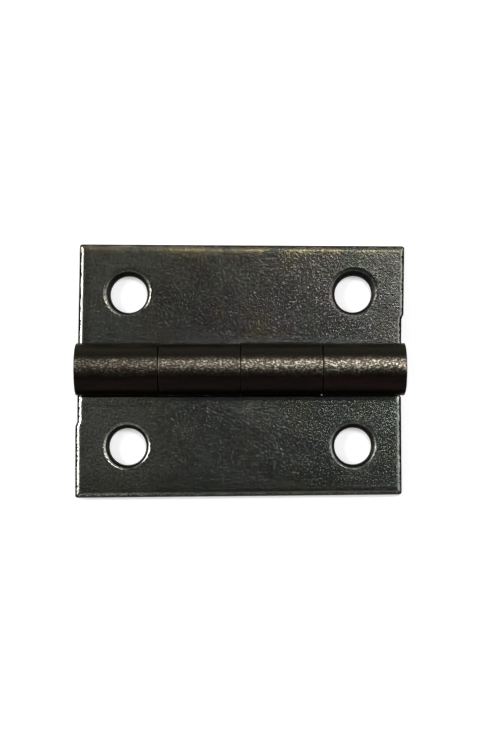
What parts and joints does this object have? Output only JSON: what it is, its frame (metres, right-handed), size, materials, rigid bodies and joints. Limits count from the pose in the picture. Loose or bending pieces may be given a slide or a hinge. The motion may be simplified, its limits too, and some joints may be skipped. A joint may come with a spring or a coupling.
{
  "type": "butt hinge",
  "caption": "Small pressed steel butt hinge: flat rectangular leaves with countersunk screw holes, rolled round a plain pin, lying open.",
  "frame": {"origin": "on the plane of both leaves' backs, under the middle of the barrel", "axes": "+X along the pin, +Y across the upper leaf away from the pin, +Z out of the countersunk front"},
  "size_m": [0.0254, 0.0198, 0.004],
  "materials": {
    "leaf_steel": "rolled steel strip with a dark antique plating, fine matt grain, browner and shinier on the barrel, brighter along sheared edges",
    "pin_steel": "drawn steel wire, unplated, cropped ends"
  },
  "bodies": {
    "fixed_leaf": {"lower_leaf": "leaf_steel", "hinge_pin": "pin_steel"},
    "swinging_leaf": {"upper_leaf": "leaf_steel"}
  },
  "joints": [
    {"name": "leaf_swing", "type": "hinge", "parent": "fixed_leaf", "child": "swinging_leaf", "pos_m": [0, 0, 0.002], "axis": [1, 0, 0], "range_deg": [-90, 190]}
  ]
}
